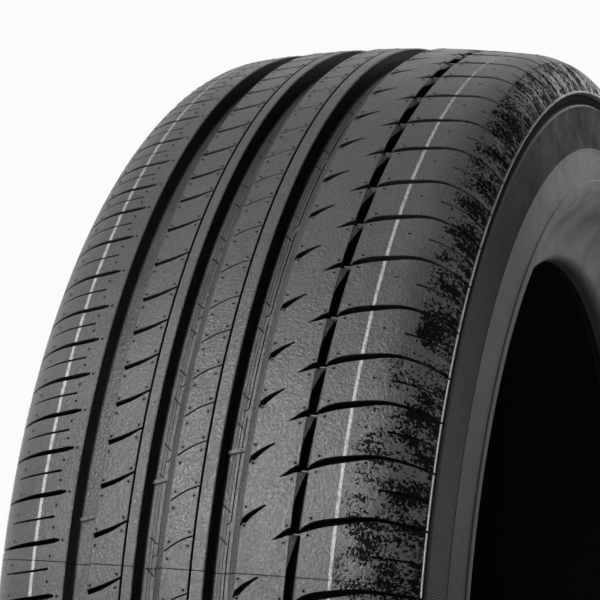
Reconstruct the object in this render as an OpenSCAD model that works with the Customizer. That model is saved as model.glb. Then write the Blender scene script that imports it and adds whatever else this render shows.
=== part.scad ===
// Passenger car tyre, size 205/55 R16, with an asymmetric summer tread.
// The tyre lies on one sidewall. Its axis is Z, and its middle is the origin.
// The side that faces up is the one that shows on the car.

/* [Tyre] */
// Outer diameter over the middle of the tread
outer_diameter = 632; // [616:1:650]
// Inner diameter of the beads, where the rim seats
bead_diameter = 405.2; // [398:0.2:412]
// Width over the two rim protectors
section_width = 207; // [202:1:216]
// Width over the outer faces of the two beads
bead_spread = 165; // [156:1:172]

/* [Tread surface] */
// Radius of the arc across the middle of the tread
crown_arc = 585; // [450:5:900]
// Width of that arc
crown_width = 144; // [136:1:150]
// Radius of the rounded shoulder
shoulder_radius = 31; // [28:0.5:34]
// Angle of the tread's surface at the shoulder's outer edge
shoulder_angle = 69; // [62:1:74]
// Thickness of rubber and plies under the crown
crown_thickness = 17; // [14:0.5:20]

/* [Sidewall] */
// Step from the shoulder's edge in to the sidewall
buttress_step = 2.3; // [1:0.1:3.5]
// Height of that step
buttress_height = 6; // [4:0.5:8]
// Height of the rim protector's crest over the bead's bore, as a share of the sidewall's height
protector_height = 0.356; // [0.32:0.004:0.4]
// Height of the ribbed band under the shoulder, as a share of the way down to that crest
band_height = 0.54; // [0.4:0.02:0.64]
// Radius of the bead's outer corner
heel_radius = 6.5; // [4:0.5:8]
// Width of the bead's seat
bead_width = 14.5; // [12:0.5:18]
// Thickness of the sidewall at its thinnest
wall_thickness = 6; // [5:0.5:8]

/* [Grooves] */
// Middle of the groove beside the inner shoulder. Places across the tread count from its
// middle, up to the side that shows
inner_groove_place = -50; // [-52:0.1:-48]
// Middle of the groove between ribs 2 and 3
middle_groove_place = -16.4; // [-18:0.1:-15]
// Middle of the groove between ribs 3 and 4
outer_groove_place = 16.7; // [15:0.1:18]
// Middle of the fine groove beside the outer shoulder
fine_groove_place = 48.9; // [47:0.1:50]
// Width of the groove beside the inner shoulder
inner_groove_width = 12; // [9:0.1:13.5]
// Width of the groove between ribs 2 and 3
middle_groove_width = 13; // [11:0.1:15]
// Width of the groove between ribs 3 and 4
outer_groove_width = 13.8; // [11:0.1:15]
// Width of the fine groove beside the outer shoulder
fine_groove_width = 1.4; // [1:0.1:2]
// Depth of the three wide grooves
groove_depth = 7.6; // [5:0.1:8.5]
// Lean of their walls
wall_lean = 9; // [4:1:12]
// Depth of the chamfer along the upper edge of the middle and the outer groove
chamfer_depth = 2.6; // [1.5:0.1:3.5]
// Width of that chamfer
chamfer_width = 3.6; // [2:0.1:4]
// Height of the wear bars over the groove floor
wear_bar_height = 1.6; // [1:0.1:2.5]
// Length of a wear bar round the tread
wear_bar_length = 10; // [6:0.5:14]
// Rows of wear bars round the tyre
wear_bar_rows = 6; // [4:1:8]

/* [Slots] */
// Depth of the slots at the middle of the tread
slot_depth = 6.6; // [4:0.1:7]
// Depth of the shoulder slots where they leave the shoulder
edge_depth = 2.4; // [1.5:0.1:3.5]
// Width of the shoulder slots of the inner half
inner_slot_width = 1.6; // [1:0.1:2.6]
// Width of the shoulder slots of the outer half, past their curved start
outer_slot_width = 1.7; // [1:0.1:2.6]
// Width of the slots of rib 2 at their open end
rib_slot_width = 2.2; // [1.4:0.1:3]
// Width of the sipes that run round ribs 2 and 3, and of those across rib 3
sipe_width = 0.8; // [0.6:0.1:1.2]
// Depth of the sipes
sipe_depth = 4.5; // [2:0.1:6]

/* [Hidden] */
rubber = [0.13, 0.13, 0.14];

// Degrees taken by each pitch in one fifth of a turn, on each half of the tread
inner_sequence = [
    4.4, 3.9, 3.6, 3.2, 3.2, 3.2, 3.2, 3.6, 3.8, 3.5, 3.0, 3.4, 3.7, 4.0, 3.8, 3.5, 3.4, 3.6, 3.9, 4.1];
outer_sequence = [5.5, 4.9, 4.5, 4.1, 4.5, 5.0, 4.6, 4.4, 4.8, 4.7, 5.1, 5.2, 5.0, 4.8, 4.9];
sequence_turns = 5;
// Angle of the first pitch of each half, from the front of the tyre
inner_start = 1.2;
outer_start = 1.6;

// Lower and upper edge of each groove
function edges(middle, width) = [middle - width / 2, middle + width / 2];
inner_groove = edges(inner_groove_place, inner_groove_width);
middle_groove = edges(middle_groove_place, middle_groove_width);
outer_groove = edges(outer_groove_place, outer_groove_width);
fine_groove = edges(fine_groove_place, fine_groove_width);
// Sipes that run round rib 2 and rib 3
rib_2_sipe = -28.1;
rib_3_sipe = 3.5;
// Inner ends of the straight shoulder slots, as distances from the middle
inner_slot_end = 60.8;
outer_slot_end = 66;
// Length round the tread from a pitch's start to the outer shoulder slot
outer_slot_run = 8.3;
// Angle of the first wear bar in the inner, middle and outer groove
wear_bar_angles = [7.7, 10.4, 13.3];

// How far a cutter reaches past the surface that it cuts
over = 1;

outer_r = outer_diameter / 2;
bead_r = bead_diameter / 2;
half_crown = crown_width / 2;

// Radius of the tread's surface at a place across the crown
function crown_r(z) = outer_r - crown_arc + sqrt(crown_arc * crown_arc - z * z);

// Points of the shoulder's arc, as [radius, place], at an angle and a depth under the surface
crown_angle = asin(half_crown / crown_arc);
shoulder_centre = [crown_r(half_crown), half_crown] - shoulder_radius * [cos(crown_angle), sin(crown_angle)];
function shoulder_turn(share) = crown_angle + (shoulder_angle - crown_angle) * share;
function shoulder_point(share, sink = 0) =
    shoulder_centre + (shoulder_radius - sink) * [cos(shoulder_turn(share)), sin(shoulder_turn(share))];
shoulder_edge = shoulder_point(1);

// Points of a cubic curve
function curve(a, b, c, d, steps) = [for (i = [0:steps]) let (u = i / steps, v = 1 - u)
    v * v * v * a + 3 * v * v * u * b + 3 * v * u * u * c + u * u * u * d];

// A point part of the way from one point to another, its share set apart for each direction
function between(a, b, along, up) = [a[0] + along * (b[0] - a[0]), a[1] + up * (b[1] - a[1])];

// Lower half of an outline from its upper half
function lower(points) = [for (i = [len(points) - 1:-1:0]) [points[i][0], -points[i][1]]];

// Corners of the sidewall, as [radius, height over the tyre's middle]
buttress_slope = 2.4;
band_lip = [1.8, 0.4];
band_taper = 4;
crest_width = 3.4;
buttress = shoulder_edge - [buttress_slope, buttress_step];
band_top = shoulder_edge + [-buttress_height - band_lip[0], band_lip[1]];
protector = [bead_r + protector_height * (outer_r - bead_r), section_width / 2];
band_foot = [between(band_top, protector, band_height, 0)[0], protector[1] - band_taper];
band_step = [-0.6, 0.6];
crest_foot = protector - [2 * crest_width, 2.4];
heel = [bead_r + heel_radius, bead_spread / 2];
toe = [bead_r, bead_spread / 2 - bead_width];

// Outside of the tyre, from the middle of the crown to the bead's toe
crown_steps = 4;
shoulder_steps = 5;
outside = concat(
    [for (i = [0:crown_steps]) let (z = half_crown * i / crown_steps) [crown_r(z), z]],
    [for (i = [1:shoulder_steps]) shoulder_point(i / shoulder_steps)],
    [buttress, buttress - [buttress_height / 2, 0]],
    curve(band_top, between(band_top, band_foot, 0.32, 0.47), between(band_top, band_foot, 0.68, 0.84),
        band_foot, 3),
    curve(band_foot + band_step, between(band_foot, protector, 0.37, 0.53),
        between(band_foot, protector, 0.68, 0.9), protector, 3),
    [protector - [crest_width, 0.2]],
    curve(crest_foot, between(crest_foot, heel, 0.3, 0.25), between(crest_foot, heel, 0.37, 0.95), heel, 5),
    [for (a = [22.5:22.5:90]) heel + heel_radius * [-sin(a), cos(a) - 1]],
    [toe]);

// Inside of the tyre, from the bead's toe to the middle of the crown
toe_inside = toe + [1.5, -1.2];
wall_middle = band_foot - [0, wall_thickness];
under_band = wall_middle + 0.75 * (band_top - band_foot);
liner_r = outer_r - crown_thickness;
liner_shoulder = [liner_r - 4.2, half_crown - 10];
inside = concat(
    curve(toe_inside, between(toe_inside, wall_middle, 0.25, 0.08),
        between(toe_inside, wall_middle, 0.55, 1.02), wall_middle, 7),
    curve(wall_middle, under_band, liner_shoulder + [-2.8, 20], liner_shoulder, 6),
    [[liner_r - 1.2, half_crown / 2], [liner_r, 0]]);

half_outline = concat(outside, inside);

// Radius of a groove's floor
function floor_r(edges) = crown_r(max(abs(edges[0]), abs(edges[1]))) - groove_depth;

// One groove across the section, with a chamfer on its upper edge if one is given
module groove_section(edges, chamfer = 0) {
    foot = tan(wall_lean) * groove_depth;
    lip = chamfer == 0 ? 0 : chamfer_depth;
    lower_r = crown_r(edges[0]);
    upper_r = crown_r(edges[1]);
    polygon([
        [lower_r + over, edges[0] - tan(wall_lean) * over],
        [floor_r(edges), edges[0] + foot],
        [floor_r(edges), edges[1] - chamfer - foot],
        [upper_r - lip, edges[1] - chamfer],
        [upper_r, edges[1]],
        [upper_r + over, edges[1] + over]]);
}

// A narrow groove with upright walls
module round_slit(edges, depth) {
    bottom = crown_r(max(abs(edges[0]), abs(edges[1]))) - depth;
    translate([bottom, edges[0]]) square([outer_r + over - bottom, edges[1] - edges[0]]);
}

// Bars over the floor of a groove, which show when the tread is worn
module wear_bars(edges, angle) {
    for (row = [0:wear_bar_rows - 1]) rotate(-90 - angle - row * 360 / wear_bar_rows)
        translate([floor_r(edges) - over, -wear_bar_length / 2, edges[0]])
            cube([wear_bar_height + over, wear_bar_length, edges[1] - edges[0]]);
}

// The carcass with what runs right round it
module carcass() {
    rotate_extrude($fn = 180) difference() {
        polygon(concat(half_outline, lower(half_outline)));
        groove_section(inner_groove);
        groove_section(middle_groove, chamfer_width);
        groove_section(outer_groove, chamfer_width);
        round_slit(fine_groove, slot_depth);
        round_slit(edges(rib_2_sipe, sipe_width), sipe_depth);
        round_slit(edges(rib_3_sipe, sipe_width), sipe_depth);
    }
    wear_bars(inner_groove, wear_bar_angles[0]);
    wear_bars(middle_groove, wear_bar_angles[1]);
    wear_bars(outer_groove, wear_bar_angles[2]);
}

// Sum of a list's first numbers, and what stretches a sequence to fill its share of the turn
function total(list, n) = n == 0 ? 0 : list[n - 1] + total(list, n - 1);
function stretch(sequence) = 360 / sequence_turns / total(sequence, len(sequence));

// Length round the tread of an angle, and the angle of a length
function arc(angle) = angle * PI / 180 * outer_r;
function turn_of(length) = length / outer_r * 180 / PI;

// Places a pattern element at each pitch of a sequence, and tells it the pitch's length
module each_pitch(sequence, start) {
    scale_to_fit = stretch(sequence);
    for (repeat = [0:sequence_turns - 1], n = [0:len(sequence) - 1]) {
        $pitch = arc(sequence[n] * scale_to_fit);
        rotate(-90 - start - repeat * 360 / sequence_turns - total(sequence, n) * scale_to_fit) children();
    }
}

// Cutter with a plan outline: each point is a length round the tread and a place across it
module plan_cut(outline, depth) {
    translate([outer_r + over, 0, 0]) rotate([90, 0, -90]) linear_extrude(depth + over) polygon(outline);
}

// Cutter for a straight slot from one point of the plan to another, that narrows on its way
module slanted_cut(from, to, width, end_width, depth) {
    half = [width / 2, 0];
    end_half = [end_width / 2, 0];
    plan_cut([from - half, to - end_half, to + end_half, from + half], depth);
}

// Cutter for a slot that runs out over the shoulder, its floor rising towards the shoulder's edge
module shoulder_cut(inner_end, width, side) {
    floor_steps = 3;
    way_out = 3 * edge_depth;
    past = shoulder_edge + [-way_out, 3 * over];
    profile = concat(
        [[outer_r + over, inner_end], [crown_r(inner_end) - slot_depth, inner_end]],
        [for (i = [1:floor_steps]) let (share = i / floor_steps)
            shoulder_point(share, slot_depth + (edge_depth - slot_depth) * share)],
        [past, [outer_r + over, past[1]]]);
    rotate([90, 0, 0]) linear_extrude(width, center = true) polygon([for (p = profile) [p[0], side * p[1]]]);
}

// Slot across the inner shoulder, leaning back as it nears the sidewall
module inner_shoulder_slot() {
    lean = 7;
    translate([0, 0, -inner_slot_end]) rotate([lean, 0, 0]) translate([0, 0, inner_slot_end])
        shoulder_cut(inner_slot_end, inner_slot_width, -1);
}

// Slanted slot of rib 2, from the inner groove to the sipe that runs round the rib
module rib_2_slot() {
    mouth = [2.3, inner_groove[1] - over];
    slanted_cut(mouth, [9.8, rib_2_sipe], rib_slot_width, rib_slot_width / 2, slot_depth);
}

// Slanted sipe of rib 3, from the middle groove to the sipe that runs round the rib
module rib_3_slot() {
    mouth = [-2.6, middle_groove[1] - over];
    slanted_cut(mouth, [4.9, rib_3_sipe], 1.4 * sipe_width, sipe_width, sipe_depth);
}

// Notch of rib 4 at the outer groove, pointed at its far end
module rib_4_notch() {
    mouth = [3.2, outer_groove[1] - over];
    waist = 5.6;
    tip = mouth + [7.9, 10.6];
    plan_cut([
        mouth + [2, 0], mouth + [4.6, waist], tip, mouth + [3.2, waist], mouth - [0.6, 0]], slot_depth - 1);
}

// Sawtooth edge of the fine groove over one pitch, with the point that runs from it over rib 4
// and the curved start of the shoulder slot
module fine_groove_pitch() {
    corner = fine_groove[0] - 2.6;
    tip = [-3.9, corner - 7.4];
    last = $pitch - 1.4;
    upper_side = fine_groove[1] - fine_groove_width / 4;
    lower_side = fine_groove[0] + fine_groove_width / 4;
    bend = 56;
    half = outer_slot_width / 2;
    plan_cut([
        tip, [2.8, corner], [last, lower_side], [last, upper_side], [3.4, upper_side],
        [5.6, bend], [outer_slot_run + half, outer_slot_end + over],
        [outer_slot_run - half, outer_slot_end + over], [3.2, bend], [0, corner + 1.9]], slot_depth);
}

// Straight part of the slot across the outer shoulder
module outer_shoulder_slot() {
    rotate(-turn_of(outer_slot_run)) shoulder_cut(outer_slot_end, outer_slot_width, 1);
}

module tyre() {
    color(rubber) difference() {
        carcass();
        each_pitch(inner_sequence, inner_start) inner_shoulder_slot();
        each_pitch(inner_sequence, inner_start) rib_2_slot();
        each_pitch(inner_sequence, inner_start) rib_3_slot();
        each_pitch(outer_sequence, outer_start) rib_4_notch();
        each_pitch(outer_sequence, outer_start) fine_groove_pitch();
        each_pitch(outer_sequence, outer_start) outer_shoulder_slot();
    }
}

tyre();
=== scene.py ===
"""A passenger car tyre of size 205/55 R16, lying on one sidewall on a plain white floor."""

import math

import bpy
import numpy as np
from mathutils import Matrix, Vector


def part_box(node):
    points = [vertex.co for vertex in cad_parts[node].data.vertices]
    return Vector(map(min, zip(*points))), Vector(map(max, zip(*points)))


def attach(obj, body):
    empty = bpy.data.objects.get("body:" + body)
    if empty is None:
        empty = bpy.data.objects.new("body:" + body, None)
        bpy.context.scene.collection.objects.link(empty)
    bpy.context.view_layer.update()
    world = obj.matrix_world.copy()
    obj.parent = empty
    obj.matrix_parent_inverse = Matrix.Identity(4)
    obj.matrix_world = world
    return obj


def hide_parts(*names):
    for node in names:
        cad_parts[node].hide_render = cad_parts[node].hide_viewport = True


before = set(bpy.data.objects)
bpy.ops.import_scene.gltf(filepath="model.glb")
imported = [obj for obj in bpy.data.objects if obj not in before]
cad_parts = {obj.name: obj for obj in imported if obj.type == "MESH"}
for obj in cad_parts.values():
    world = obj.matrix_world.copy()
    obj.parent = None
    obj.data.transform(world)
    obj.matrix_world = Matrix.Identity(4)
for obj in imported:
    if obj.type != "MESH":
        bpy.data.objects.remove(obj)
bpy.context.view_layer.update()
scene = bpy.context.scene
scene.view_settings.view_transform = "Standard"

# The camera looks at the tread from in front and a little over the sidewall that faces up.
# The photograph shows the tyre standing up, so the camera is rolled by about a right angle
# and the tyre's axis runs across the picture.
camera_place = Vector((-0.01460, -1.17877, 0.37529))
view_line = Vector((-0.13037, 0.92573, -0.35503)).normalized()
picture_right = Vector((-0.06930, 0.34870, 0.93467)).normalized()
picture_up = picture_right.cross(view_line).normalized()
focal_pixels = 2229.93
picture_pixels = 600
sensor_width = 36

lens = bpy.data.cameras.new("camera")
lens.sensor_width = sensor_width
lens.lens = focal_pixels * sensor_width / picture_pixels
lens.clip_start = 0.01
camera = bpy.data.objects.new("camera", lens)
turn = Matrix((picture_right, picture_up, -view_line)).transposed()
camera.matrix_world = Matrix.Translation(camera_place) @ turn.to_4x4()
scene.collection.objects.link(camera)
scene.camera = camera


# The floor is a plain white sheet in a white room. Both look white to the camera. Reflections
# show the floor white and the room a middle grey, so that black rubber keeps its depth, and the
# floor keeps a faint shadow under the tyre.
def add_node(tree, kind, settings, inputs):
    """Adds a node, sets its settings, and fills or links its sockets by name or number."""
    node = tree.nodes.new(kind)
    for name, value in settings.items():
        setattr(node, name, value)
    for key, value in inputs.items():
        socket = node.inputs[key]
        if isinstance(value, list):
            for source in value:
                tree.links.new(source, socket)
        elif isinstance(value, bpy.types.NodeSocket):
            tree.links.new(value, socket)
        else:
            socket.default_value = value
    return node


class Value:
    """A shader socket that can be used in sums."""

    def __init__(self, socket):
        self.socket = socket
        self.tree = socket.id_data

    def maths(self, operation, *values):
        """A Math node in this value's tree, on values or numbers."""
        inputs = {i: v.socket if isinstance(v, Value) else v for i, v in enumerate(values)}
        return Value(add_node(self.tree, "ShaderNodeMath", {"operation": operation}, inputs).outputs[0])

    def __add__(self, other):
        return self.maths("ADD", self, other)

    __radd__ = __add__

    def __sub__(self, other):
        return self.maths("SUBTRACT", self, other)

    def __rsub__(self, other):
        return self.maths("SUBTRACT", other, self)

    def __mul__(self, other):
        return self.maths("MULTIPLY", self, other)

    __rmul__ = __mul__

    def __truediv__(self, other):
        return self.maths("DIVIDE", self, other)

    def __pow__(self, other):
        return self.maths("POWER", self, other)

    def __abs__(self):
        return self.maths("ABSOLUTE", self)

    def at_least(self, other):
        return self.maths("MAXIMUM", self, other)

    def at_most(self, other):
        return self.maths("MINIMUM", self, other)

    def step(self, low, high):
        """Nought up to low, one from high on, and smooth between; high may be the lower one."""
        node = add_node(
            self.tree, "ShaderNodeMapRange", {"interpolation_type": "SMOOTHSTEP"},
            {"Value": self.socket, "From Min": low, "From Max": high})
        return Value(node.outputs[0])

    def between(self, start, full_from, full_to, end):
        """One from full_from to full_to, nought outside start and end, and smooth between."""
        return self.step(start, full_from) * self.step(end, full_to)


def new_material(name):
    """A material with an empty tree and its output node."""
    material = bpy.data.materials.new(name)
    material.use_nodes = True
    material.node_tree.nodes.clear()
    output = material.node_tree.nodes.new("ShaderNodeOutputMaterial")
    return material, material.node_tree, output


def ray_kinds(tree):
    """One or nought for a ray from the camera, for one in a reflection, and for one through."""
    path = add_node(tree, "ShaderNodeLightPath", {}, {}).outputs
    return [Value(path[kind]) for kind in ("Is Camera Ray", "Is Glossy Ray", "Is Transmission Ray")]


white = (1, 1, 1, 1)
floor_colour = (0.85, 0.85, 0.85, 1)
floor_glow = 0.96
floor_half = 4.0
floor_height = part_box("tyre")[0].z

floor_mesh = bpy.data.meshes.new("floor")
floor_mesh.from_pydata(
    [(x * floor_half, y * floor_half, floor_height) for x, y in ((-1, -1), (1, -1), (1, 1), (-1, 1))],
    [], [(0, 1, 2, 3)])
floor = bpy.data.objects.new("floor", floor_mesh)
scene.collection.objects.link(floor)
floor_material, tree, output = new_material("white floor")
camera_ray, mirror_ray, through_ray = ray_kinds(tree)
seen = camera_ray.at_least(mirror_ray).at_least(through_ray) * floor_glow
diffuse = add_node(tree, "ShaderNodeBsdfDiffuse", {}, {"Color": floor_colour}).outputs[0]
glow = add_node(tree, "ShaderNodeEmission", {}, {"Color": white, "Strength": 1.0}).outputs[0]
mixed = add_node(tree, "ShaderNodeMixShader", {}, {0: seen.socket, 1: diffuse, 2: glow})
tree.links.new(mixed.outputs[0], output.inputs["Surface"])
floor_mesh.materials.append(floor_material)

room_light = 0.08
room_in_mirrors = 0.42
world = bpy.data.worlds.new("white room")
scene.world = world
world.use_nodes = True
tree = world.node_tree
tree.nodes.clear()
output = tree.nodes.new("ShaderNodeOutputWorld")
camera_ray, mirror_ray, through_ray = ray_kinds(tree)
mirrored_room = room_light + mirror_ray * (room_in_mirrors - room_light)
strength = camera_ray.at_least(through_ray).at_least(mirrored_room)
background = add_node(tree, "ShaderNodeBackground", {}, {"Color": white, "Strength": strength.socket})
tree.links.new(background.outputs[0], output.inputs["Surface"])


# Four soft boxes light the tyre: a long strip in front of the tread, a short one just above the
# floor that shines in the middle ribs, a box over the sidewall, and a faint strip behind.
def area_lamp(name, place, target, size, watts):
    """A soft box that faces a point."""
    lamp = bpy.data.lights.new(name, "AREA")
    lamp.shape = "RECTANGLE"
    lamp.size, lamp.size_y = size
    lamp.energy = watts
    holder = bpy.data.objects.new(name, lamp)
    holder.location = place
    holder.rotation_euler = (Vector(target) - Vector(place)).to_track_quat("-Z", "Y").to_euler()
    scene.collection.objects.link(holder)


area_lamp("front strip", (0.6, -0.9, -0.06), (0, -0.3, 0), size=(0.5, 0.06), watts=5.8)
area_lamp("floor strip", (-0.2, -0.62, -0.08), (-0.06, -0.31, 0.02), size=(0.16, 0.035), watts=1.8)
area_lamp("side box", (-0.27, 0.02, 0.5), (-0.25, -0.02, 0.1), size=(0.3, 0.3), watts=0.7)
area_lamp("back strip", (-0.75, 0.9, 0.16), (-0.2, 0.1, 0.1), size=(0.4, 0.08), watts=0.8)

# The casing is the whole moulded body: tread, shoulders, sidewalls, beads and the hollow inside.
# One outline is turned round the axis, and the tread pattern is cut into it afterwards, as the
# ribs of the mould press it into the hot rubber. Its lengths are in millimetres.
mm = 0.001
low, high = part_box("tyre")
outer_radius = round((high.x - low.x) / 2 / mm)
half_section = (high.z - low.z) / 2 / mm
bead_radius = 202.6
tread_and_liner = 17
crown_arc = 585
crown_half = 72
shoulder_radius = 31
shoulder_end = math.radians(69)
groove_depth = 7.6
turn_segments = 210


def polar(reach, turn):
    return reach * np.array([math.cos(turn), math.sin(turn)])


crown_middle = np.array([outer_radius - crown_arc, 0])
crown_end = math.asin(crown_half / crown_arc)
shoulder_middle = crown_middle + polar(crown_arc - shoulder_radius, crown_end)
shoulder_edge = shoulder_middle + polar(shoulder_radius, shoulder_end)


def tread_point(z, depth=0.0):
    """Radius and height of a point of the tread, at a depth square to its surface."""
    side = math.copysign(1, z)
    z = abs(z)
    if z <= crown_half:
        point = crown_middle + polar(crown_arc - depth, math.asin(z / crown_arc))
    else:
        tilt = math.asin(min((z - shoulder_middle[1]) / shoulder_radius, math.sin(shoulder_end)))
        past = max(z - shoulder_edge[1], 0) / math.cos(shoulder_end)
        point = shoulder_middle + polar(shoulder_radius - depth, tilt) + polar(past, tilt + math.pi / 2)
    return np.array([point[0], side * point[1]])


# The grooves run right round, so they are in the outline. A groove's walls lean, a wide one has
# a chamfer on its outer edge, and two small ridges stand on its floor. Places across the tread
# are measured from its middle, upwards.
inner_groove = (-56.0, -44.0)
middle_groove = (-22.9, -9.9)
outer_groove = (9.8, 23.6)
middle_ridges = (-19.6, -18.2)
outer_ridges = (13.2, 14.6)
wall_lean = 1.1
edge_round, edge_slack = 0.35, 0.1
floor_round = 0.5
chamfer_width, chamfer_depth = 3.6, 2.6
ridge_foot, ridge_top, ridge_height = 0.45, 0.15, 0.3
rib_2_slit = -28.1
rib_3_slit = 3.5
slit_half, slit_depth = 0.45, 4.5
slit_flare, flare_depth = 0.15, 0.2


def groove_outline(start, end, chamfered=False, ridges=()):
    """Points of a groove across the section, from its lower edge to its upper one."""
    wall_end = end - chamfer_width if chamfered else end
    wall_top = chamfer_depth if chamfered else 0.0
    floor_start, floor_end = start + wall_lean, wall_end - wall_lean
    points = [
        (start - edge_round, 0), (start + edge_slack, edge_round),
        (floor_start, groove_depth - floor_round), (floor_start + floor_round, groove_depth)]
    for middle in ridges:
        points += [
            (middle - ridge_foot, groove_depth), (middle - ridge_top, groove_depth - ridge_height),
            (middle + ridge_top, groove_depth - ridge_height), (middle + ridge_foot, groove_depth)]
    points += [
        (floor_end - floor_round, groove_depth), (floor_end, groove_depth - floor_round),
        (wall_end - edge_slack, wall_top + edge_round)]
    if chamfered:
        points.append((wall_end + 2 * edge_slack, wall_top - edge_slack))
    points.append((end + edge_round, 0))
    return [tread_point(z, depth) for z, depth in points]


def slit_outline(middle):
    """Points of a narrow groove with upright walls."""
    points = [
        (middle - slit_half - slit_flare, 0), (middle - slit_half, flare_depth),
        (middle - slit_half, slit_depth), (middle + slit_half, slit_depth),
        (middle + slit_half, flare_depth), (middle + slit_half + slit_flare, 0)]
    return [tread_point(z, depth) for z, depth in points]


def surface_run(start, end, step):
    """Points on the tread's surface between two places, without the places themselves."""
    count = max(int(round((end - start) / step)), 1)
    return [tread_point(z) for z in np.linspace(start, end, count + 1)[1:-1]]


tread = (
    [tread_point(-crown_half)] + surface_run(-crown_half, inner_groove[0], 6)
    + groove_outline(*inner_groove) + surface_run(inner_groove[1], rib_2_slit, 6)
    + slit_outline(rib_2_slit) + surface_run(rib_2_slit, middle_groove[0], 3)
    + groove_outline(*middle_groove, True, middle_ridges) + surface_run(middle_groove[1], rib_3_slit, 5)
    + slit_outline(rib_3_slit) + surface_run(rib_3_slit, outer_groove[0], 3)
    + groove_outline(*outer_groove, True, outer_ridges) + surface_run(outer_groove[1], crown_half, 6)
    + [tread_point(crown_half)])
shoulder = [shoulder_middle + polar(shoulder_radius, math.radians(a)) for a in range(13, 70, 7)]


# Under the lip on the shoulder's edge the sidewall steps back to a band, which a raised thread
# closes. Below it stand the rim protector and the bead, which seats on the rim. Both sidewalls
# are alike, so the lower half is a mirror image.
def offset(point, out, up):
    return np.array([point[0] + out, point[1] + up])


def curve(a, b, c, d, steps):
    """Points of a cubic curve from a to d, which leaves towards b and comes in from c."""
    u = np.linspace(0, 1, steps + 1)[:, None]
    v = 1 - u
    a, b, c, d = (np.array(point, float) for point in (a, b, c, d))
    return list(v**3 * a + 3 * v * v * u * b + 3 * v * u * u * c + u**3 * d)


def band_line(steps):
    """The band's curve from the shoulder down to the raised thread."""
    return curve(band_top, offset(band_top, -7, 0.9), offset(band_foot, 7, -0.3), band_foot, steps)


def mirrored(points):
    """The same points on the lower half, in the opposite order."""
    return [np.array([r, -z]) for r, z in reversed(points)]


band_width = 22
protector_rise = 40.4
heel_radius, heel_height, toe_height = 6.5, 82.5, 68.0
step_back = offset(shoulder_edge, -2.4, -2.3)
band_top = offset(shoulder_edge, -7.8, 0.4)
band_foot = np.array([band_top[0] - band_width, half_section - 4])
protector = np.array([bead_radius + protector_rise, half_section])
heel = np.array([bead_radius + heel_radius, heel_height])
toe = np.array([bead_radius, toe_height])

edge_lip = [
    offset(shoulder_edge, 0.1, 0.55), offset(shoulder_edge, -0.6, 0.7), offset(shoulder_edge, -0.9, 0.1),
    offset(step_back, 0.1, 0), offset(step_back, -2.6, 0), offset(band_top, 0.4, -0.4)]
raised_thread = [
    offset(band_foot, -0.3, 0.35), offset(band_foot, -0.8, 0.35), offset(band_foot, -1.1, 0.1)]
flank = curve(
    offset(band_foot, -1.6, 0.2), offset(band_foot, -7, 1.3),
    offset(protector, 6, -1.2), offset(protector, 2.6, -0.9), 6)
rim_protector = [
    offset(protector, 2.2, -0.2), offset(protector, 1.2, 0), protector,
    offset(protector, -2.6, -0.1), offset(protector, -3.4, -0.4), offset(protector, -4.2, -1.4)]
bead_flank = curve(
    offset(protector, -6.8, -2.6), offset(protector, -15, -7), offset(heel, 17, 1), heel, 10)
bead = [
    heel + heel_radius * np.array([-math.sin(a), math.cos(a) - 1])
    for a in (0.35, 0.7, 1.05, 1.4, math.pi / 2)] + [offset(toe, 0, 1.0), offset(toe, 0.3, 0.3)]
sidewall = edge_lip + band_line(6) + raised_thread + flank + rim_protector + bead_flank + bead

wall_middle = offset(band_foot, 0, -6)
liner = outer_radius - tread_and_liner
hollow = (
    curve(offset(toe, 1.5, -0.6), offset(toe, 16, 1), offset(wall_middle, -26, 0.5), wall_middle, 7)
    + curve(wall_middle, offset(wall_middle, 16, -1.4), (liner - 7, 82), (liner - 4.2, 62), 6)[1:]
    + [np.array([liner - 1.2, 36.0])])
outline = (
    tread + shoulder + sidewall + hollow + [np.array([liner, 0.0])]
    + mirrored(hollow) + mirrored(sidewall) + mirrored(shoulder))

# The pattern's pitches differ in length, so that the tread doesn't hum on the road. Both halves
# repeat a sequence that fills a fifth of a turn. A cutter is a closed block with the shape of
# one of the mould's ribs, and each is made where it presses into the tread.
repeats = 5
inner_start, outer_start = 1.2, 1.6
inner_sequence = [
    4.4, 3.9, 3.6, 3.2, 3.2, 3.2, 3.2, 3.6, 3.8, 3.5, 3.0, 3.4, 3.7, 4.0, 3.8, 3.5, 3.4, 3.6, 3.9, 4.1]
outer_sequence = [5.5, 4.9, 4.5, 4.1, 4.5, 5.0, 4.6, 4.4, 4.8, 4.7, 5.1, 5.2, 5.0, 4.8, 4.9]
cutter_rise = 1.0
slot_floor_share = 0.84


def pitches(sequence, start):
    """Angle and length in degrees of each pitch in one fifth of a turn."""
    lengths = np.array(sequence) * (360 / repeats) / sum(sequence)
    starts = start + np.concatenate([[0], np.cumsum(lengths)[:-1]])
    return list(zip(starts, lengths))


def ring_place(radius, height, degrees):
    """A point from its radius, its height and its angle up from the front of the tyre."""
    turn = math.radians(-90 - degrees)
    return (radius * math.cos(turn), radius * math.sin(turn), height)


def degrees_of(length):
    return math.degrees(length / outer_radius)


def mesh_object(name, vertices, faces, edges=()):
    """A new object at the origin, its mesh given in millimetres."""
    mesh = bpy.data.meshes.new(name)
    mesh.from_pydata([tuple(float(c) * mm for c in v) for v in vertices], list(edges), faces)
    mesh.update()
    piece = bpy.data.objects.new(name, mesh)
    scene.collection.objects.link(piece)
    return piece


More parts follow.
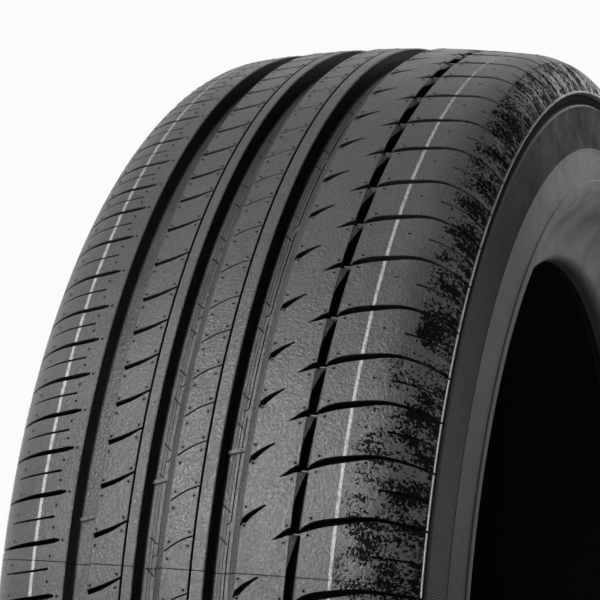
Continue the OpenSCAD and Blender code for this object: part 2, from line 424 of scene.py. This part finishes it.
class Cutters:
    """Gathers closed blocks into one mesh."""

    def __init__(self):
        self.vertices = []
        self.faces = []

    def loft(self, rings):
        """Joins rings of as many points each into a closed block whose faces point outwards."""
        first = [Vector(p) for p in rings[0]]
        facing = sum((a.cross(b) for a, b in zip(first, first[1:] + first[:1])), Vector())
        ahead = Vector(np.mean(rings[1], 0)) - Vector(np.mean(rings[0], 0))
        if facing.dot(ahead) < 0:
            rings = [ring[::-1] for ring in rings]
        size = len(rings[0])
        base = len(self.vertices)
        last = base + (len(rings) - 1) * size
        for ring in rings:
            self.vertices += ring
        for row in range(base, last, size):
            for j in range(size):
                a, b = row + j, row + (j + 1) % size
                self.faces.append((a, b, b + size, a + size))
        self.faces.append(tuple(base + j for j in reversed(range(size))))
        self.faces.append(tuple(last + j for j in range(size)))

    def slot(self, angle, stations, top=-cutter_rise):
        """A slot along stations of place, turn from the angle, width and depth."""
        path = np.array([(z, math.radians(turn) * outer_radius) for z, turn, width, depth in stations])
        along = np.gradient(path, axis=0)
        along /= np.hypot(*along.T)[:, None]
        rings = []
        for (z, run), (dz, drun), (_, _, width, depth) in zip(path, along, stations):
            half, half_floor = width / 2, width * slot_floor_share / 2
            corners = [(half, top), (-half, top), (-half_floor, depth), (half_floor, depth)]
            rings.append([
                ring_place(*tread_point(z - drun * side, d), angle + degrees_of(run + dz * side))
                for side, d in corners])
        self.loft(rings)


def values_at(places, points):
    """Values at places across the tread, on straight lines between a few given points."""
    given, values = np.array(sorted(points)).T
    return np.interp(places, given, values)


def slot_stations(count, path, widths, depths):
    """Stations of place, turn in degrees, width and depth along a slot, from a few of each."""
    places = np.linspace(path[0][0], path[-1][0], count)
    return list(zip(places, *(values_at(places, points) for points in (path, widths, depths))))


inner_pitches = pitches(inner_sequence, inner_start)
outer_pitches = pitches(outer_sequence, outer_start)
shoulder_slots, rib_slots, sipes, channels = Cutters(), Cutters(), Cutters(), Cutters()

inner_slot = slot_stations(
    14,
    path=[(-60.3, 0), (-60.8, 0), (-68.4, -0.29), (-72, -0.40), (-75, -0.48), (-79, -0.60), (-83, -0.72),
          (-92, -0.90), (-98.6, -1.0)],
    widths=[(-60.3, 1.2), (-61.0, 2.4), (-75, 2.3), (-84, 1.7), (-98.6, 1.1)],
    depths=[(-60.8, 6.6), (-75, 6.0), (-88, 3.6), (-98.6, 2.0)])
inner_sipe_share = 0.47
inner_sipe = slot_stations(
    8,
    path=[(-64.4, 0), (-72.7, -0.28), (-80.9, -0.50), (-88, -0.62)],
    widths=[(-64.4, 1.2), (-80, 1.0), (-88, 0.6)],
    depths=[(-64.4, 3.5), (-88, 0.9)])
rib_2_slot = slot_stations(
    6,
    path=[(-43.5, 0.44), (-36, 0.98), (-28.1, 1.78)],
    widths=[(-43.5, 2.6), (-36, 2.2), (-28.1, 1.0)],
    depths=[(-43.5, 6.6), (-28.1, 6.2)])
rib_3_sipe = slot_stations(
    6,
    path=[(-9.3, -0.43), (-5.2, 0.16), (-0.8, 0.62), (3.5, 0.90)],
    widths=[(-9.3, 0.8), (3.5, 0.7)],
    depths=[(-9.3, 4.4), (3.5, 4.4)])
for angle, length in inner_pitches:
    shoulder_slots.slot(angle, inner_slot)
    sipes.slot(angle + inner_sipe_share * length, inner_sipe)
    rib_slots.slot(angle, rib_2_slot)
    sipes.slot(angle, rib_3_sipe)

outer_slot = slot_stations(
    20,
    path=[(49.0, 0.16), (50.6, 0.34), (52, 0.49), (54, 0.68), (56.5, 0.86), (60, 1.03), (63.7, 1.16),
          (72, 1.44), (79, 1.61), (86.8, 1.60), (98.6, 1.5)],
    widths=[(49.0, 1.3), (50.6, 2.1), (52, 2.8), (54, 3.4), (58, 3.6), (66, 3.3), (74, 2.5), (82, 1.8),
            (98.6, 1.2)],
    depths=[(49.0, 5.0), (53, 6.4), (72, 6.2), (88, 3.6), (98.6, 2.0)])
rib_4_leaf = slot_stations(
    6,
    path=[(37.6, -0.60), (41.4, -0.22), (43.5, 0.05), (46.6, 0.27)],
    widths=[(37.6, 0.15), (41, 1.8), (43, 2.6), (45, 3.3), (46.6, 3.7)],
    depths=[(37.6, 1.5), (41, 6.0), (46.6, 6.4)])
rib_4_notch = slot_stations(
    7,
    path=[(23.5, 0.42), (26.0, 1.02), (28.6, 1.44), (31.0, 1.77), (33.6, 2.08)],
    widths=[(23.5, 1.0), (25.2, 3.0), (28, 2.4), (31, 1.5), (33.6, 0.9)],
    depths=[(23.5, 6), (33.6, 4.5)])
outer_sipe_share = 0.5
outer_sipe = slot_stations(
    6,
    path=[(80.2, 1.5), (97, 1.5)],
    widths=[(80.2, 1.2), (97, 0.8)],
    depths=[(80.2, 3.2), (90, 2.8), (97, 1.6)])

# The fine channel beside the outer shoulder is narrow at one end of each pitch and wide at the
# other, like the edge of a saw. A thin skin is left between one pitch's piece and the next.
channel_start, channel_end = 45.3, 50.4
channel_depth = 7.2
channel_slope = 0.8
channel_margin = 0.5
channel_gap = 0.05
channel_walls = [
    (0.0, 45.45, 49.0), (0.2, 45.45, 49.2), (0.4, 45.5, 49.5), (0.55, 45.7, 49.7), (0.75, 46.8, 49.9),
    (1.0, 48.2, 50.2)]


def channel_section(lower_wall, upper_wall):
    """Places and depths round the channel, with a chamfer from its edge down to each wall."""
    lower_lip = channel_slope * (lower_wall - channel_start)
    upper_lip = channel_slope * (channel_end - upper_wall)
    return [
        (channel_start - channel_margin, -cutter_rise), (channel_start, 0.0),
        (lower_wall, lower_lip + edge_slack), (lower_wall + edge_slack, channel_depth),
        (upper_wall - edge_slack, channel_depth), (upper_wall, upper_lip + edge_slack),
        (channel_end, 0.0), (channel_end + channel_margin, -cutter_rise)]


for angle, length in outer_pitches:
    shoulder_slots.slot(angle, outer_slot)
    rib_slots.slot(angle, rib_4_leaf)
    rib_slots.slot(angle, rib_4_notch)
    sipes.slot(angle + outer_sipe_share * length, outer_sipe)
    rings = []
    for share, lower_wall, upper_wall in channel_walls:
        turn = angle + channel_gap + (length - 2 * channel_gap) * share
        section = channel_section(lower_wall, upper_wall)
        rings.append([ring_place(*tread_point(z, depth), turn) for z, depth in section])
    channels.loft(rings)

# The mould leaves fine lines on the floors of the middle and the outer groove: a long line with
# a hooked end from gap to gap, and a slanted tick on each side of a gap.
line_top, line_bottom = groove_depth - 0.6, groove_depth + 0.6
line_width, tick_width = 0.6, 0.7
line_start, line_gap, line_points = 0.7, 0.28, 6
middle_gaps = [angle + 0.77 * length for angle, length in inner_pitches[0::2]]
outer_gaps = [angle + 0.36 for angle, length in outer_pitches[1::2]]
floor_lines = Cutters()


def floor_line(angle, path, width):
    floor_lines.slot(angle, [(z, turn, width, line_bottom) for z, turn in path], line_top)


for middle, gaps in ((-15.8, middle_gaps), (16.5, outer_gaps)):
    hook = [(middle - 2.3, 0.24), (middle - 0.9, 0.30), (middle - 0.15, 0.48)]
    tick_after = [(middle - 4.4, 1.75), (middle - 2.0, 1.42), (middle - 0.7, 1.2)]
    tick_before = [(middle - 4.4, -0.75), (middle - 2.0, -1.1), (middle - 0.7, -1.35)]
    for angle, following in zip(gaps, gaps[1:] + [gaps[0] + 360 / repeats]):
        turns = np.linspace(line_start, following - line_gap - angle, line_points)
        floor_line(angle, hook + [(middle, turn) for turn in turns], line_width)
        floor_line(angle, tick_after, tick_width)
        floor_line(angle, tick_before, tick_width)

# Wear bars stand on the floors of the grooves, and show when the tread is worn down to them.
# They are in six slanting rows round the tyre.
bar_rows = 6
bar_starts = ((inner_groove, 7.7), (middle_groove, 11.0), (outer_groove, 13.7))
bar_height, bar_run, bar_slant = 1.6, 1.8, 0.3
bar_margin, bar_root = 0.3, 2
bar_profile = [(-1, bar_height - 0.5), (-0.9, bar_height), (0.9, bar_height), (1, bar_height - 0.5)]
half_run = degrees_of(bar_run / 2)
wear_bars = Cutters()
for (start, end), first in bar_starts:
    for row in range(bar_rows):
        rings = []
        for share, rise in bar_profile:
            middle = first + row * 360 / bar_rows + half_run * share
            corners = [
                (start + bar_margin, groove_depth - rise, -bar_slant),
                (end - bar_margin, groove_depth - rise, bar_slant),
                (end - bar_margin, groove_depth + bar_root, bar_slant),
                (start + bar_margin, groove_depth + bar_root, -bar_slant)]
            rings.append([
                ring_place(*tread_point(z, depth), middle + slant) for z, depth, slant in corners])
        wear_bars.loft(rings)


# The rubber is black with carbon, and satin from the mould. Its cuts and its hollow are painted
# near black as shade. Fine grain, soft glossy patches and dark stains on the outer shoulder show
# on it, and a painted line runs round each side of the tread.
def noise(tree, place, scale, detail, roughness=0.5, distortion=0.0):
    """Noise from nought to one on a place, its scale in waves a metre."""
    inputs = {
        "Vector": place, "Scale": scale, "Detail": detail, "Roughness": roughness,
        "Distortion": distortion}
    return Value(add_node(tree, "ShaderNodeTexNoise", {}, inputs).outputs["Fac"])


def grey(tree, value):
    """A colour from one number."""
    channels = {name: value.socket for name in ("Red", "Green", "Blue")}
    return add_node(tree, "ShaderNodeCombineColor", {}, channels).outputs[0]


def length_of(a, b):
    return (a * a + b * b) ** 0.5


def uneven(value, amount):
    """Noise turned into a swing about nought, amount wide in all."""
    return (value - 0.5) * amount


rubber, tree, output = new_material("black rubber")
place = add_node(tree, "ShaderNodeTexCoord", {}, {}).outputs["Object"]
axes = add_node(tree, "ShaderNodeSeparateXYZ", {}, {0: place}).outputs
x, y, z = (Value(axis) for axis in axes)
height = z / mm
side = abs(height)
reach = length_of(x, y) / mm
turned = x.maths("ARCTAN2", x * -1, y * -1) * math.degrees(1)
run = turned * (math.radians(1) * outer_radius * mm)


def unrolled(run_share, width_share):
    """A place on the unrolled tread, squeezed along the run and across it."""
    inputs = {"X": (run * run_share).socket, "Y": (z * width_share).socket}
    return add_node(tree, "ShaderNodeCombineXYZ", {}, inputs).outputs[0]


fine_grain = noise(tree, place, scale=2400, detail=2)
grain = noise(tree, place, scale=800, detail=4, roughness=0.65)
leather = noise(tree, place, scale=620, detail=3, roughness=0.6, distortion=0.4)
patches = noise(tree, place, scale=45, detail=4, roughness=0.6)
clouds = noise(tree, place, scale=14, detail=3)
ragged = noise(tree, place, scale=700, detail=3, roughness=0.65)

# How deep a point lies under the tread's surface tells the cuts from the blocks. The cuts, the
# groove walls, the fine lines under the groove floors and the hollow get painted shade. The lit
# floors of the grooves stay grey, with a painted shadow at the foot of each groove's lower wall,
# and the cuts get shallow over the shoulders.
tread_edge = math.floor(shoulder_edge[1])
hollow_depth = 9
grey_rim, shoulder_rim, rim_fade = 0.25, 1.6, 0.6
floor_dark, floor_lit, wall_lit = 1.3, 2.6, 0.4
on_crown = side.step(crown_half + 0.1, crown_half - 0.1)
crown_depth = crown_arc - length_of(reach - crown_middle[0], height)
shoulder_depth = shoulder_radius - length_of(reach - shoulder_middle[0], side - shoulder_middle[1])
depth = crown_depth * on_crown + shoulder_depth * (1 - on_crown)
inner_floor, middle_floor, outer_floor = (
    height.between(start + floor_dark, start + floor_lit, end, end + wall_lit)
    for start, end in (inner_groove, middle_groove, outer_groove))
open_floor = inner_floor.at_least(middle_floor).at_least(outer_floor)
channel_lip = (height - channel_start).at_most(channel_end - height).at_least(0) * channel_slope
shade_from = channel_lip + side.step(80, 95) * shoulder_rim + grey_rim
floor_line_shade = depth.step(groove_depth + 0.1, groove_depth + 0.3)
# Painted shade on the cuts and walls, fading over the lit floors, and under the groove floors.
painted_cut_shade = ((depth - shade_from).step(0, rim_fade) * (1 - open_floor)).at_least(floor_line_shade)
painted_cut_shade = painted_cut_shade * depth.step(hollow_depth + 3, hollow_depth) * side.step(tread_edge, tread_edge - 0.2)
# Painted shade in the hollow.
hollow_shade = depth.step(hollow_depth, hollow_depth + 4) * side.step(tread_edge, tread_edge - 2)


def painted_line(middle, half_width):
    """A line with ragged edges that runs round the tread."""
    ragged_width, soft_width = 1.2, 0.4
    away = abs(height - middle) + uneven(ragged, ragged_width)
    return away.step(half_width, half_width - soft_width)


least_paint = 0.4
lower_line = painted_line(middle=-72.2, half_width=0.95)
upper_line = painted_line(middle=64.4, half_width=0.9)
worn_off = noise(tree, unrolled(0.35, 1), scale=900, detail=3, roughness=0.6).step(0.32, 0.55)
paint = lower_line.at_least(upper_line) * (worn_off * (1 - least_paint) + least_paint)
paint = paint * depth.step(0.5, 0.2) * reach.step(300, 305)

# The stain lies on the outer shoulder near the front and thins out towards the ribs. The seam,
# where the tread strip's two ends were joined, crosses the whole tread.
stain_low, stain_full, zone_weight = 0.09, 0.18, 0.16
cells = noise(tree, unrolled(0.8, 1), scale=900, detail=3, roughness=0.6, distortion=0.5)
blotches = noise(tree, unrolled(1, 0.6), scale=120, detail=5, roughness=0.7)
shoulder_zone = height.step(57, 90) * turned.between(-40, -10, 2, 32)
edge_zone = height.step(82, 90) * turned.step(100, 75) * 1.05
zone = shoulder_zone.at_least(edge_zone) * depth.step(1.2, 0.6) * reach.step(280, 285)
cover = uneven(cells, 1) + uneven(blotches, 1.2) + zone * zone_weight
stain = cover.step(stain_low, stain_full) * zone.step(0.03, 0.3)
seam_turn = 3.86
seam = abs(turned - seam_turn + uneven(ragged, 0.08)).step(0.05, 0.02) * reach.step(290, 300)

# Painted highlights run along the lip and, in dashes, along the raised thread of the sidewall,
# and a painted sheen lies in patches on its far part. The sidewall is also painted darker as shade.
wall_top = 290
lip_reach, lip_height = shoulder_edge[0], tread_edge
thread_reach, thread_half = band_foot[0] - 0.7, 0.3
edge_highlight = side.step(lip_height - 0.1, lip_height + 0.1) * reach.between(
    lip_reach - 1.7, lip_reach - 1.4, lip_reach + 0.9, lip_reach + 1.3)
glint_breaks = noise(tree, unrolled(1, 1), scale=900, detail=0).step(0.42, 0.5)
thread_glint = abs(reach - thread_reach).step(thread_half + 0.15, thread_half) * side.step(96, 97)
thread_glint = thread_glint * glint_breaks
wall = reach.step(wall_top, wall_top - 1)
sheen_zone = turned.between(38, 66, 110, 150) * reach.between(203, 207, 283, 287) * height.step(60, 80)
painted_sheen = sheen_zone * (patches * 1.6 - 0.4).at_least(0.15)

rubber_tone, edge_highlight_tone, thread_glint_tone, sheen_tone, darkest_tone = 0.052, 0.3, 0.08, 0.28, 0.004
tone = rubber_tone + uneven(clouds, 0.04) + uneven(grain, 0.05) + uneven(patches, 0.04)
# Painted shade darkens the sidewall; the lip and thread get painted highlights, the far part a painted
# sheen.
tone = tone * (1 - wall * 0.3) + edge_highlight * edge_highlight_tone + thread_glint * thread_glint_tone + painted_sheen * sheen_tone
tone = (tone * (1 - stain * 0.9 * (1 - edge_highlight)) * (1 - seam * 0.7)).at_least(darkest_tone)
# The line's colour carries a painted highlight that grows higher round the tyre, where less light reaches
# it.
paint_tone = 0.22 + ragged * 0.2 + turned.step(25, 75) * 0.35
tone = tone * (1 - paint) + paint * paint_tone

rubber_roughness, smoothest, roughest = 0.34, 0.2, 0.9
polished = turned.between(-4, 5, 14, 30) * height.between(-16, -6, 34, 52)
roughness = rubber_roughness + uneven(patches, 0.25) + uneven(grain, 0.2)
roughness = roughness + paint * 0.25 + wall * 0.12 - polished * 0.16
relief_depth = 0.0007
relief = leather * (1 - wall * 0.6) + fine_grain * 0.25 - seam - stain * 0.3
bump = add_node(
    tree, "ShaderNodeBump", {}, {"Strength": 1.0, "Distance": relief_depth, "Height": relief.socket})
skin = add_node(
    tree, "ShaderNodeBsdfPrincipled", {},
    {"Base Color": grey(tree, tone), "Roughness": roughness.at_most(roughest).at_least(smoothest).socket,
     "Normal": bump.outputs[0], "IOR": 1.5, "Specular IOR Level": 0.42})
# The painted shade of the cuts and the hollow, and the real seam and stain, mix in a near black.
shade_and_stain_colour = (0.002, 0.002, 0.002, 1)
shade_and_stain_black = add_node(tree, "ShaderNodeBsdfDiffuse", {}, {"Color": shade_and_stain_colour})
shade_and_stain = (painted_cut_shade * 0.82).at_least(hollow_shade * 0.85).at_least(seam * 0.5)
shade_and_stain = shade_and_stain.at_least(stain * 0.92 * (1 - edge_highlight))
mixed = add_node(
    tree, "ShaderNodeMixShader", {}, {0: shade_and_stain.socket, 1: skin.outputs[0], 2: shade_and_stain_black.outputs[0]})
tree.links.new(mixed.outputs[0], output.inputs["Surface"])


# The casing's mesh comes from Geometry Nodes: the outline is turned, the wear bars are joined to
# it, and every other block is cut out of it in all five fifths.
class Graph:
    """A geometry node tree in the making, with its inputs named."""

    def __init__(self, name):
        self.tree = bpy.data.node_groups.new(name, "GeometryNodeTree")
        for way in ("INPUT", "OUTPUT"):
            self.tree.interface.new_socket("Geometry", in_out=way, socket_type="NodeSocketGeometry")
        self.identifiers = {}
        self.entry = self.tree.nodes.new("NodeGroupInput").outputs
        self.exit = self.tree.nodes.new("NodeGroupOutput").inputs

    def input(self, name, kind):
        """A named input of the tree, and its socket."""
        socket = self.tree.interface.new_socket(name, in_out="INPUT", socket_type="NodeSocket" + kind)
        self.identifiers[name] = socket.identifier
        return self.entry[name]

    def add(self, kind, settings=None, inputs=None):
        return add_node(self.tree, kind, settings or {}, inputs or {}).outputs

    def shape(self, name):
        """The shape of an object that is given as a named input."""
        return self.add("GeometryNodeObjectInfo", {}, {"Object": self.input(name, "Object")})["Geometry"]

    def attribute(self, name, kind):
        """A named value that is kept on the mesh."""
        node = self.add("GeometryNodeInputNamedAttribute", {"data_type": kind}, {"Name": name})
        return node["Attribute"]

    def all_round(self, shape, count):
        """A shape set out a number of times round the axis, as plain mesh."""
        spots = self.add("GeometryNodeMeshLine", {}, {"Count": count, "Offset": (0, 0, 0)})["Mesh"]
        step = self.add("ShaderNodeMath", {"operation": "DIVIDE"}, {0: 2 * math.pi, 1: count})[0]
        index = self.add("GeometryNodeInputIndex")[0]
        angle = self.add("ShaderNodeMath", {"operation": "MULTIPLY"}, {0: index, 1: step})[0]
        turn = self.add("ShaderNodeCombineXYZ", {}, {"Z": angle})[0]
        ring = self.scatter(spots, shape, turn)
        return self.add("GeometryNodeRealizeInstances", {}, {"Geometry": ring})[0]

    def scatter(self, points, shape, turns):
        """A shape on every point, each turned its own way."""
        inputs = {"Points": points, "Instance": shape, "Rotation": turns}
        return self.add("GeometryNodeInstanceOnPoints", {}, inputs)[0]

    def finish(self, geometry, *materials):
        """Ends the tree with plain mesh and its materials, each with the mark of its faces."""
        last = self.add("GeometryNodeRealizeInstances", {}, {"Geometry": geometry})[0]
        for material, marked in materials:
            inputs = {"Geometry": last, "Selection": marked, "Material": material}
            last = self.add("GeometryNodeSetMaterial", {}, inputs)[0]
        self.tree.links.new(last, self.exit["Geometry"])

    def apply(self, piece, values):
        """Runs the tree on a piece, and leaves the result as the piece's own plain mesh."""
        modifier = piece.modifiers.new(self.tree.name, "NODES")
        modifier.node_group = self.tree
        for name, value in values.items():
            modifier[self.identifiers[name]] = value
        bpy.context.view_layer.update()
        shaped = piece.evaluated_get(bpy.context.evaluated_depsgraph_get())
        mesh = bpy.data.meshes.new_from_object(shaped)
        piece.modifiers.clear()
        piece.data = mesh


casing = mesh_object(
    "tyre_casing", [(r - outer_radius, -z, 0) for r, z in reversed(outline)], [],
    [(i, (i + 1) % len(outline)) for i in range(len(outline))])
cuts = {
    "shoulder slots": shoulder_slots, "rib slots": rib_slots, "sipes": sipes, "channels": channels,
    "floor lines": floor_lines}
graph = Graph("turn and cut")
segments = graph.input("Segments", "Int")
radius = graph.input("Radius", "Float")
fifths = graph.input("Repeats", "Int")
section = graph.add("GeometryNodeMeshToCurve", {}, {"Mesh": graph.entry["Geometry"]})[0]
circle = graph.add("GeometryNodeCurvePrimitiveCircle", {}, {"Resolution": segments, "Radius": radius})
turned_line = {"Curve": circle["Curve"], "Profile Curve": section}
body = graph.add("GeometryNodeCurveToMesh", {}, turned_line)["Mesh"]
joining = {"operation": "UNION", "solver": "MANIFOLD"}
cutting = {"operation": "DIFFERENCE", "solver": "MANIFOLD"}
body = graph.add("GeometryNodeMeshBoolean", joining, {"Mesh 2": [body, graph.shape("wear bars")]})["Mesh"]
for name in cuts:
    block = graph.all_round(graph.shape(name), fifths)
    body = graph.add("GeometryNodeMeshBoolean", cutting, {"Mesh 1": body, "Mesh 2": block})["Mesh"]
graph.finish(body, (rubber, True))

blocks = {
    name: mesh_object(name, cutters.vertices, cutters.faces)
    for name, cutters in {"wear bars": wear_bars, **cuts}.items()}
casing_sizes = {"Segments": turn_segments, "Radius": outer_radius * mm, "Repeats": repeats}
graph.apply(casing, casing_sizes | blocks)
for block in blocks.values():
    bpy.data.objects.remove(block)

crease = math.radians(32)
surface_slack = 0.12
edge_of_round = shoulder_edge[1] + 0.05
square_enough = 0.9


def read_out(items, what, width=1, kind=np.float32):
    """One property of all a mesh's items."""
    values = np.zeros(len(items) * width, kind)
    items.foreach_get(what, values)
    return values.reshape(-1, width) if width > 1 else values


def true_round(points):
    """The tread's own direction outwards at points, and whether each lies on its surface."""
    reach = np.hypot(points[:, 0], points[:, 1])
    height = np.abs(points[:, 2])
    on_crown = height <= crown_half
    arm = np.stack([reach - shoulder_middle[0], height - shoulder_middle[1]], 1)
    arm_length = np.hypot(*arm.T)
    crown_depth = crown_arc - np.hypot(reach - crown_middle[0], height)
    depth = np.where(on_crown, crown_depth, shoulder_radius - arm_length)
    lean_out = np.where(on_crown, height / crown_arc, arm[:, 1] / np.maximum(arm_length, 1))
    ahead = np.sqrt(np.maximum(1 - lean_out**2, 0)) / np.maximum(reach, 1)
    outwards = np.stack([points[:, 0] * ahead, points[:, 1] * ahead, np.sign(points[:, 2]) * lean_out], 1)
    return outwards, (np.abs(depth) < surface_slack) & (height <= edge_of_round)


def shade(piece):
    """Sharp edges over the crease, and the true round of the tread on what is left of it."""
    mesh = piece.data
    mesh.shade_smooth()
    mesh.set_sharp_from_angle(angle=crease)
    normals = read_out(mesh.corner_normals, "vector", 3)
    corner_point = read_out(mesh.loops, "vertex_index", kind=np.int32)
    corner_count = read_out(mesh.polygons, "loop_total", kind=np.int32)
    corner_face = np.repeat(np.arange(len(mesh.polygons)), corner_count)
    face_normal = read_out(mesh.polygons, "normal", 3)
    outwards, on_surface = true_round(read_out(mesh.vertices, "co", 3) / mm)
    along = (face_normal[corner_face] * outwards[corner_point]).sum(1)
    whole = np.ones(len(mesh.polygons), bool)
    np.logical_and.at(whole, corner_face, on_surface[corner_point] & (along > square_enough))
    chosen = whole[corner_face]
    normals[chosen] = outwards[corner_point[chosen]]
    mesh.normals_split_custom_set(normals.tolist())


shade(casing)
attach(casing, "root")
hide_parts("tyre")

# Air leaves the mould through small vents. Each leaves a dot on the tread: a low ring with a pit
# in it, whose floor is painted black as shade. They stand on both sides of the slots and along the
# shoulders. A dot's place is its place across, its turn in degrees and its share of the pitch.
inner_dots = [
    (-42.6, 0.97, 0), (-42.4, -0.30, 0), (-30.3, 1.98, 0), (-30.4, 0.94, 0), (-7.6, 0.28, 0),
    (-7.6, -1.0, 0), (1.2, 1.12, 0), (1.2, 0.07, 0), (-58.6, -0.03, 0), (-84.8, 0, 0.5),
    (-84.8, -0.25, 0), (-64.1, 0, 0.24), (-64.1, 0, 0.70)]
outer_dots = [
    (25.1, 1.85, 0), (25.3, 0.4, 0), (43.8, 0.6, 0), (43.2, -0.7, 0), (53.2, 0.0, 0), (53.8, 1.3, 0),
    (71.3, 0, 0.87), (85.1, 0, 0.22), (85.1, 0, 0.49), (85.1, 0, 0.75), (85.1, 0, 0.97)]
dot_places, dot_leans = [], []
for dots, pattern in ((inner_dots, inner_pitches), (outer_dots, outer_pitches)):
    for angle, length in pattern:
        for across, turn_on, share_on in dots:
            turn = angle + turn_on + share_on * length
            spot = np.array(ring_place(*tread_point(across), turn))
            dot_places.append(spot)
            dot_leans.append(spot - np.array(ring_place(*tread_point(across, 1.0), turn)))

ring_sides = 8
ring_radius, ring_slope, ring_height, ring_root = 1.15, 0.25, 0.14, 0.05
pit_radius, pit_floor_share, pit_floor = 0.62, 0.95, 0.02
ring_rows = [
    (ring_radius, -ring_root), (ring_radius - ring_slope, ring_height), (pit_radius, ring_height),
    (pit_radius * pit_floor_share, pit_floor)]
ring_turns = np.linspace(0, 2 * math.pi, ring_sides, endpoint=False)
dot_vertices = [(*polar(r, turn), up) for r, up in ring_rows for turn in ring_turns]
pit_start = len(dot_vertices) - ring_sides
dot_faces = [
    (row + j, row + (j + 1) % ring_sides, row + (j + 1) % ring_sides + ring_sides, row + j + ring_sides)
    for row in range(0, pit_start, ring_sides) for j in range(ring_sides)]
dot_faces.append(tuple(range(pit_start, len(dot_vertices))))
dot = mesh_object("vent dot", dot_vertices, dot_faces)
pit_mark = dot.data.attributes.new("pit", "BOOLEAN", "FACE")
pit_mark.data[len(dot_faces) - 1].value = True

# The pit's floor is painted near black as the shade inside a deep hole.
pit_shade_colour = (0.004, 0.004, 0.004, 1)
painted_pit_shade, tree, output = new_material("pit shade")
hole = add_node(tree, "ShaderNodeBsdfDiffuse", {}, {"Color": pit_shade_colour})
tree.links.new(hole.outputs[0], output.inputs["Surface"])

vent_dots = mesh_object("vent_dots", dot_places, [])
lean = vent_dots.data.attributes.new("lean", "FLOAT_VECTOR", "POINT")
lean.data.foreach_set("vector", np.array(dot_leans, np.float32).ravel())
graph = Graph("scatter the dots")
shape = graph.shape("Dot")
fifths = graph.input("Repeats", "Int")
upright = {"Vector": graph.attribute("lean", "FLOAT_VECTOR")}
facing = graph.add("FunctionNodeAlignRotationToVector", {"axis": "Z"}, upright)["Rotation"]
one_fifth = graph.scatter(graph.entry["Geometry"], shape, facing)
pit_faces = graph.attribute("pit", "BOOLEAN")
graph.finish(graph.all_round(one_fifth, fifths), (rubber, True), (painted_pit_shade, pit_faces))
graph.apply(vent_dots, {"Dot": dot, "Repeats": repeats})
bpy.data.objects.remove(dot)
vent_dots.data.shade_flat()
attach(vent_dots, "root")

# A ring of fine ribs runs round each sidewall, on the band under the shoulder. They are cut into
# the mould, so that light catches the edge of the tread.
rib_count = 1500
rib_half, rib_rise, rib_root = 0.28, 0.3, 0.1
rib_line = band_line(4)
rib_vertices = []
for r, up in rib_line:
    rib_vertices += [(r, -rib_half, up - rib_root), (r, 0, up + rib_rise), (r, rib_half, up - rib_root)]
rib_faces = []
for i in range(0, 3 * (len(rib_line) - 1), 3):
    rib_faces += [(i, i + 3, i + 4, i + 1), (i + 1, i + 4, i + 5, i + 2)]
rib = mesh_object("rib", rib_vertices, rib_faces)

graph = Graph("ring of ribs")
shape = graph.shape("Rib")
upper = graph.all_round(shape, graph.input("Count", "Int"))
lower = graph.add("GeometryNodeTransform", {}, {"Geometry": upper, "Scale": (1, 1, -1)})[0]
lower = graph.add("GeometryNodeFlipFaces", {}, {"Mesh": lower})[0]
graph.finish(graph.add("GeometryNodeJoinGeometry", {}, {"Geometry": [upper, lower]})[0], (rubber, True))
sidewall_ribs = mesh_object("sidewall_ribs", [], [])
graph.apply(sidewall_ribs, {"Rib": rib, "Count": rib_count})
bpy.data.objects.remove(rib)
sidewall_ribs.data.shade_flat()
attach(sidewall_ribs, "root")
